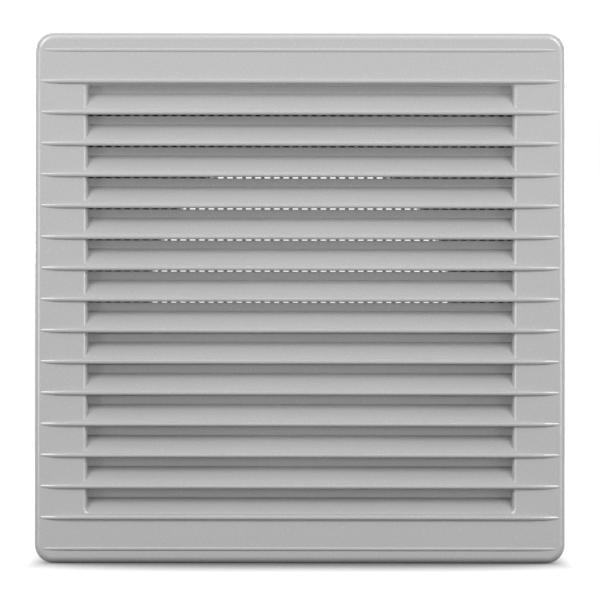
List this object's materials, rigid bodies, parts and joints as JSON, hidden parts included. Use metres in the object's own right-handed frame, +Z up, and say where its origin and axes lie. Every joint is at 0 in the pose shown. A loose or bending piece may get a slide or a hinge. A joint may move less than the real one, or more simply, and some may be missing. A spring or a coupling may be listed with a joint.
{
  "type": "ventilation grille",
  "caption": "Square wall ventilation grille with fixed horizontal louvres, an insect screen and a round duct spigot at the rear.",
  "frame": {"origin": "on the spigot's axis, in the wall plane that the rear of the grille lies on", "axes": "+Y out of the rear along the spigot, so the louvred face looks along -Y; +Z up across the louvres; +X along the louvres"},
  "size_m": [0.25, 0.0634, 0.25],
  "materials": {
    "front_grille": "satin light grey moulded plastic",
    "insect_screen": "satin light grey moulded plastic",
    "spigot_plate": "satin light grey moulded plastic"
  },
  "bodies": {
    "root": {"front_grille": "front_grille", "insect_screen": "insect_screen", "spigot_plate": "spigot_plate"}
  },
  "joints": []
}
